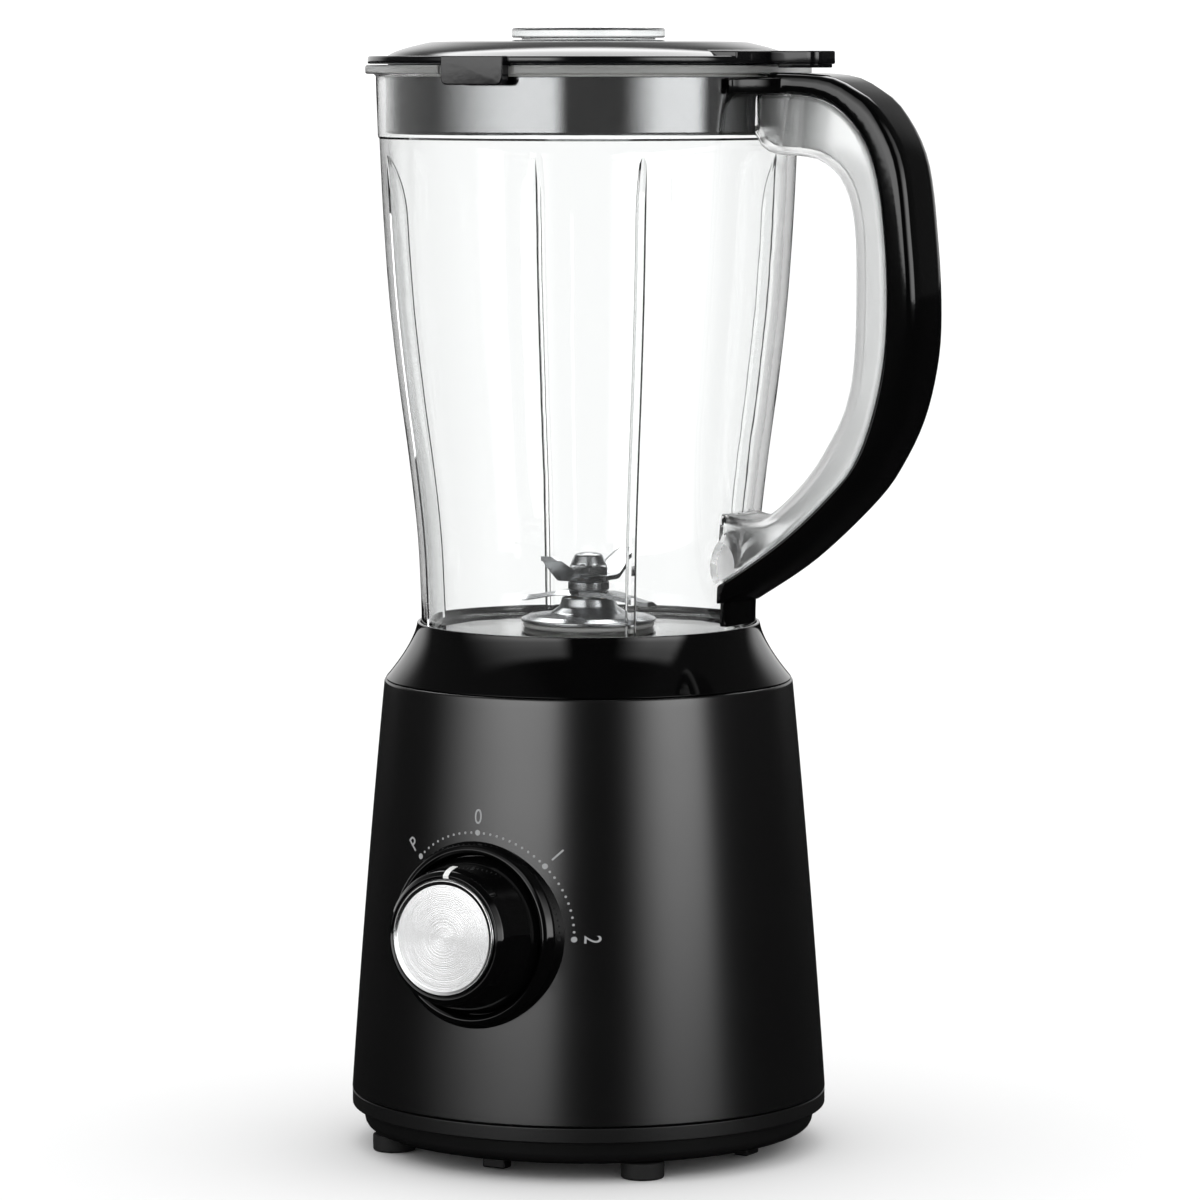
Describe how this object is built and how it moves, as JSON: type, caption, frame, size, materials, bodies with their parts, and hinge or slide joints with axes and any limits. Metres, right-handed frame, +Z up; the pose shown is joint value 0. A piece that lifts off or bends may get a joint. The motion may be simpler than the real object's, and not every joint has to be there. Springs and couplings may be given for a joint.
{
  "type": "countertop blender",
  "caption": "Countertop blender: tapered motor base with a front speed knob, tall clear lift-off jar with a curved side handle, lid with a filler cup.",
  "frame": {"origin": "middle of the bounding box, at the bottom of the feet", "axes": "+Z up along the machine's axis, -Y towards the front with the knob, +X towards the jar's handle"},
  "size_m": [0.21, 0.1802, 0.3795],
  "materials": {
    "clear_plastic": "clear gloss, see-through",
    "cup_plastic": "clear gloss, see-through",
    "lid_plastic": "gloss black",
    "gloss_black": "polished gloss black",
    "satin_black": "satin black",
    "matt_black": "fine matt black",
    "black_rubber": "matt black rubber",
    "seal_rubber": "pale translucent rubber",
    "mirror_steel": "polished stainless steel",
    "blade_steel": "ground stainless steel",
    "brushed_aluminium": "spun aluminium",
    "dark_steel": "stacked steel sheets",
    "zinc_steel": "zinc-plated steel",
    "copper_wire": "varnished copper wire",
    "copper_bar": "turned copper bars",
    "bronze": "sintered bronze",
    "graphite": "matt carbon",
    "white_plastic": "natural white plastic",
    "red_plastic": "dark red plastic"
  },
  "bodies": {
    "base": {"bottom_pan": "matt_black", "foot_1": "black_rubber", "foot_2": "black_rubber", "foot_3": "black_rubber", "foot_4": "black_rubber", "pan_screw_1": "zinc_steel", "pan_screw_2": "zinc_steel", "pan_screw_3": "zinc_steel", "pan_screw_4": "zinc_steel", "housing": "satin_black", "cable_inlet": "black_rubber", "collar": "gloss_black", "knob_bezel": "gloss_black", "rotary_switch": "red_plastic", "stator": "dark_steel", "field_coil_1": "copper_wire", "field_coil_2": "copper_wire", "lower_bracket": "zinc_steel", "upper_bracket": "zinc_steel", "lower_bearing": "bronze", "upper_bearing": "bronze", "motor_mount_1": "black_rubber", "motor_mount_2": "black_rubber", "motor_mount_3": "black_rubber", "motor_mount_4": "black_rubber", "brush_holder_1": "bronze", "brush_holder_2": "bronze", "carbon_brush_1": "graphite", "carbon_brush_2": "graphite", "micro_switch": "red_plastic", "interlock_spring": "zinc_steel"},
    "motor": {"motor_shaft": "zinc_steel", "armature_core": "dark_steel", "armature_winding": "copper_wire", "commutator": "copper_bar", "cooling_fan": "matt_black", "drive_coupling": "matt_black"},
    "knob": {"knob": "gloss_black", "knob_disc": "brushed_aluminium", "switch_shaft": "white_plastic"},
    "interlock": {"interlock_pin": "white_plastic"},
    "jar": {"jar": "clear_plastic", "handle_grip": "gloss_black", "blade_holder": "blade_steel", "blade_seal": "seal_rubber", "holder_nut": "matt_black", "upper_bush": "bronze", "lower_bush": "bronze"},
    "blades": {"blade_shaft": "zinc_steel", "lower_blade": "blade_steel", "blade_spacer": "blade_steel", "upper_blade": "blade_steel", "acorn_nut": "blade_steel", "driven_coupling": "matt_black"},
    "lid": {"lid": "lid_plastic", "lid_band": "mirror_steel", "lid_seal": "seal_rubber"},
    "cup": {"measuring_cup": "cup_plastic"}
  },
  "joints": [
    {"name": "motor_spin", "type": "hinge", "parent": "base", "child": "motor", "pos_m": [-0.0241, 0.00758, 0.095], "axis": [0, 0, 1], "continuous": true},
    {"name": "knob_turn", "type": "hinge", "parent": "base", "child": "knob", "pos_m": [-0.0241, -0.06874, 0.0812], "axis": [0, 0.9968, -0.0801], "range_deg": [-45, 90]},
    {"name": "jar_lift", "type": "slide", "parent": "base", "child": "jar", "axis": [0, 0, 1], "range_m": [0, 0.08]},
    {"name": "interlock_rise", "type": "slide", "parent": "base", "child": "interlock", "axis": [0, 0, 1], "range_m": [0, 0.003], "deforming": ["interlock_spring"]},
    {"name": "blade_spin", "type": "hinge", "parent": "jar", "child": "blades", "pos_m": [-0.0241, 0.00758, 0.19], "axis": [0, 0, 1], "continuous": true},
    {"name": "lid_lift", "type": "slide", "parent": "jar", "child": "lid", "axis": [0, 0, 1], "range_m": [0, 0.08]},
    {"name": "cup_lift", "type": "slide", "parent": "lid", "child": "cup", "axis": [0, 0, 1], "range_m": [0, 0.06]}
  ],
  "couplings": [
    {"joint": "blade_spin", "follows": "motor_spin", "ratio": 1},
    {"joint": "interlock_rise", "follows": "jar_lift", "ratio": 0.0375}
  ]
}
